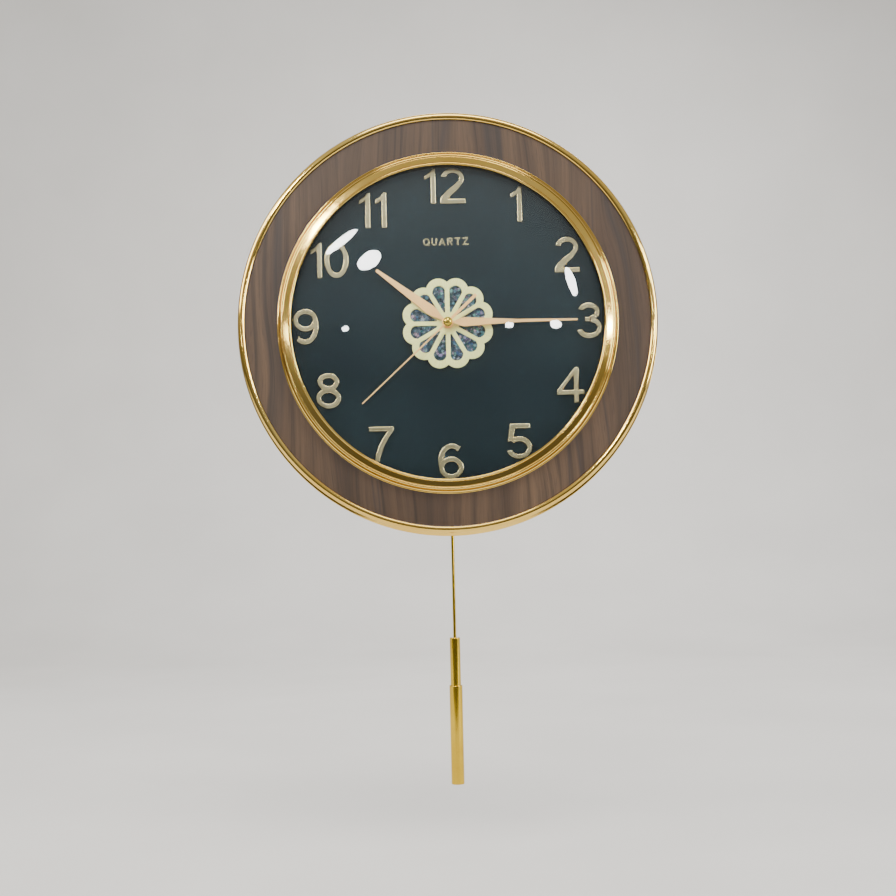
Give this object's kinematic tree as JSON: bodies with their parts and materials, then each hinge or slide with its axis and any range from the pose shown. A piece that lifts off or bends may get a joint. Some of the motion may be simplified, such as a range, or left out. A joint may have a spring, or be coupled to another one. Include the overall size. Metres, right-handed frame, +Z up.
{
  "type": "pendulum wall clock",
  "caption": "Round battery wall clock with a walnut ring, gold rim and bezel, black dial with raised numerals under domed glass, and a slim brass tube pendulum below.",
  "frame": {"origin": "centre of the keyhole in the hanger plate, at its back face, which is the wall's surface", "axes": "+Z up, +Y into the wall (the dial looks along -Y), +X to the right of somebody facing the clock"},
  "size_m": [0.4019, 0.065, 0.6417],
  "materials": {
    "gold_plating": "polished gold electroplate on moulded ABS",
    "walnut_veneer": "satin walnut veneer, grain upright",
    "dome_glass": "clear domed mineral glass, polished",
    "black_plastic": "moulded black ABS, fine matte texture",
    "dial_black": "glossy black with a blue-green cast",
    "numeral_gold": "champagne-gold plated, polished, bevelled",
    "rosette_gold": "brushed champagne-gold anodised aluminium",
    "shell_inlay": "abalone shell chips under clear lacquer",
    "hand_rose_gold": "satin rose-gold anodised",
    "polished_brass": "polished and lacquered",
    "machined_brass": "machined",
    "steel": "zinc-plated",
    "copper_winding": "enamelled copper wire",
    "magnet": "sintered ferrite",
    "acetal_gear": "natural acetal",
    "circuit_board": "green solder mask on glass-epoxy",
    "battery_wrap": null
  },
  "bodies": {
    "case": {"outer_rim": "gold_plating", "wood_ring": "walnut_veneer", "inner_bezel": "gold_plating", "dome_glass": "dome_glass", "glass_spacer_ring": "black_plastic", "dial_plate": "dial_black", "numeral_1": "numeral_gold", "numeral_2": "numeral_gold", "numeral_3": "numeral_gold", "numeral_4": "numeral_gold", "numeral_5": "numeral_gold", "numeral_6": "numeral_gold", "numeral_7": "numeral_gold", "numeral_8": "numeral_gold", "numeral_9": "numeral_gold", "numeral_10": "numeral_gold", "numeral_11": "numeral_gold", "numeral_12": "numeral_gold", "dial_word": "numeral_gold", "rosette_inlay": "shell_inlay", "rosette_frame": "rosette_gold", "back_housing": "black_plastic", "rim_screws": "steel", "bezel_screws": "steel", "hanger_plate": "steel", "hanger_screws": "steel", "movement_front_case": "black_plastic", "movement_rear_case": "black_plastic", "mounting_bushing": "machined_brass", "dial_washer": "machined_brass", "dial_nut": "machined_brass", "train_plate": "acetal_gear", "battery_contacts": "steel", "circuit_board": "circuit_board", "quartz_crystal": "steel", "motor_stator": "steel", "motor_coil": "copper_winding", "pendulum_coil": "copper_winding", "pivot_pin": "steel"},
    "minute_train": {"minute_hand": "hand_rose_gold", "cannon_pinion": "acetal_gear", "centre_wheel": "acetal_gear"},
    "hour_train": {"hour_hand": "hand_rose_gold", "hour_wheel": "acetal_gear"},
    "second_train": {"second_hand": "hand_rose_gold", "second_hand_cap": "polished_brass", "seconds_wheel": "acetal_gear"},
    "setting_train": {"minute_wheel": "acetal_gear", "setting_knob": "acetal_gear"},
    "third_train": {"third_wheel": "acetal_gear"},
    "fifth_train": {"fifth_wheel": "acetal_gear"},
    "rotor_train": {"motor_rotor": "acetal_gear", "rotor_magnet": "magnet"},
    "pendulum": {"swing_arm": "black_plastic", "drive_magnet": "magnet", "pendulum_rod": "polished_brass", "upper_tube": "polished_brass", "lower_tube": "polished_brass", "bob_weight": "steel"},
    "battery_cell": {"battery": "battery_wrap"}
  },
  "joints": [
    {"name": "minute_turn", "type": "hinge", "parent": "case", "child": "minute_train", "pos_m": [0, 0, -0.15], "axis": [0, 1, 0], "continuous": true},
    {"name": "hour_turn", "type": "hinge", "parent": "case", "child": "hour_train", "pos_m": [0, 0, -0.15], "axis": [0, 1, 0], "continuous": true},
    {"name": "second_turn", "type": "hinge", "parent": "case", "child": "second_train", "pos_m": [0, 0, -0.15], "axis": [0, 1, 0], "continuous": true},
    {"name": "setting_turn", "type": "hinge", "parent": "case", "child": "setting_train", "pos_m": [0.00105, 0, -0.16195], "axis": [0, 1, 0], "continuous": true},
    {"name": "third_turn", "type": "hinge", "parent": "case", "child": "third_train", "pos_m": [0.0115, 0, -0.15419], "axis": [0, 1, 0], "continuous": true},
    {"name": "fifth_turn", "type": "hinge", "parent": "case", "child": "fifth_train", "pos_m": [-0.01015, 0, -0.15369], "axis": [0, 1, 0], "continuous": true},
    {"name": "rotor_turn", "type": "hinge", "parent": "case", "child": "rotor_train", "pos_m": [-0.01497, 0, -0.16057], "axis": [0, 1, 0], "continuous": true},
    {"name": "pendulum_swing", "type": "hinge", "parent": "case", "child": "pendulum", "pos_m": [0, 0, -0.191], "axis": [0, 1, 0], "range_deg": [-8, 8]},
    {"name": "battery_slide", "type": "slide", "parent": "case", "child": "battery_cell", "axis": [0, 1, 0], "range_m": [0, 0.016]}
  ],
  "couplings": [
    {"joint": "hour_turn", "follows": "minute_turn", "ratio": 0.083333},
    {"joint": "setting_turn", "follows": "minute_turn", "ratio": -0.33333},
    {"joint": "third_turn", "follows": "minute_turn", "ratio": -7.5},
    {"joint": "second_turn", "follows": "minute_turn", "ratio": 60},
    {"joint": "fifth_turn", "follows": "minute_turn", "ratio": -300},
    {"joint": "rotor_turn", "follows": "minute_turn", "ratio": 1800}
  ]
}
